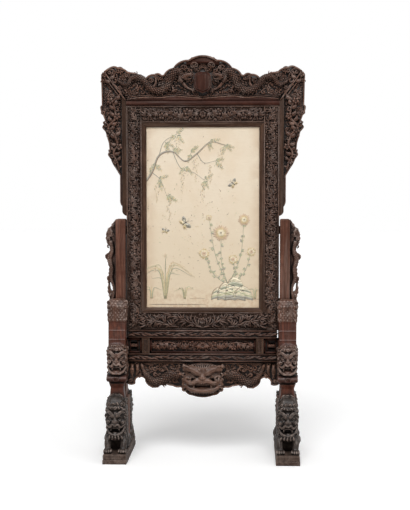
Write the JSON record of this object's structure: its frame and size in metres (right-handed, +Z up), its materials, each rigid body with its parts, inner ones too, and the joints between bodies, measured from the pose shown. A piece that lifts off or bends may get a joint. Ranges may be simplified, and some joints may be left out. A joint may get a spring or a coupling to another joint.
{
  "type": "floor screen",
  "caption": "Carved hardwood floor screen: a framed silk panel with a crest and wings that lifts out of a stand on two lion feet.",
  "frame": {"origin": "on the floor, midway between the two feet and midway between front and rear", "axes": "+X to the right of someone facing the silk, +Y to the rear, +Z up"},
  "size_m": [1.0212, 0.46, 2.0003],
  "materials": {
    "foot_carving": "worn dark hardwood carving, greyish on its high edges",
    "stand_carving": "dark red-brown carved hardwood, waxed, worn on its high edges",
    "plain_wood": "smooth reddish hardwood, waxed to a soft sheen",
    "frame_carving": "dark brown carved hardwood, waxed",
    "crest_carving": "very dark brown deeply carved hardwood",
    "slip": "plain dark brown moulding, satin",
    "silk": "cream woven silk with a soft sheen, stretched flat",
    "back_board": "unfinished planed softwood, darkened by age",
    "nail": "blackened wrought iron"
  },
  "bodies": {
    "stand": {"apron": "stand_carving", "apron_mask": "stand_carving", "centre_panel": "stand_carving", "left_end_panel": "stand_carving", "left_foot_plinth": "foot_carving", "left_front_guardian_lion": "foot_carving", "left_front_spandrel": "stand_carving", "left_panel_stile": "stand_carving", "left_post": "plain_wood", "left_rear_guardian_lion": "foot_carving", "left_rear_spandrel": "stand_carving", "left_side_dragon": "stand_carving", "lower_rail": "stand_carving", "right_end_panel": "stand_carving", "right_foot_plinth": "foot_carving", "right_front_guardian_lion": "foot_carving", "right_front_spandrel": "stand_carving", "right_panel_stile": "stand_carving", "right_post": "plain_wood", "right_rear_guardian_lion": "foot_carving", "right_rear_spandrel": "stand_carving", "right_side_dragon": "stand_carving", "upper_rail": "stand_carving"},
    "screen": {"back_plank_1": "back_board", "back_plank_2": "back_board", "back_plank_3": "back_board", "batten_nails": "nail", "bottom_slip": "slip", "crest": "crest_carving", "crest_moulding": "plain_wood", "crest_shield": "plain_wood", "crest_tenons": "back_board", "frame_bottom_rail": "frame_carving", "frame_left_stile": "frame_carving", "frame_right_stile": "frame_carving", "frame_top_rail": "frame_carving", "left_lower_lug": "plain_wood", "left_slip": "slip", "left_upper_lug": "plain_wood", "left_wing": "crest_carving", "left_wing_strip": "plain_wood", "lower_batten": "back_board", "right_lower_lug": "plain_wood", "right_slip": "slip", "right_upper_lug": "plain_wood", "right_wing": "crest_carving", "right_wing_strip": "plain_wood", "silk_board": "back_board", "silk_panel": "silk", "top_slip": "slip", "upper_batten": "back_board"}
  },
  "joints": [
    {"name": "screen_lift", "type": "slide", "parent": "stand", "child": "screen", "axis": [0, 0, 1], "range_m": [0, 0.56]}
  ]
}
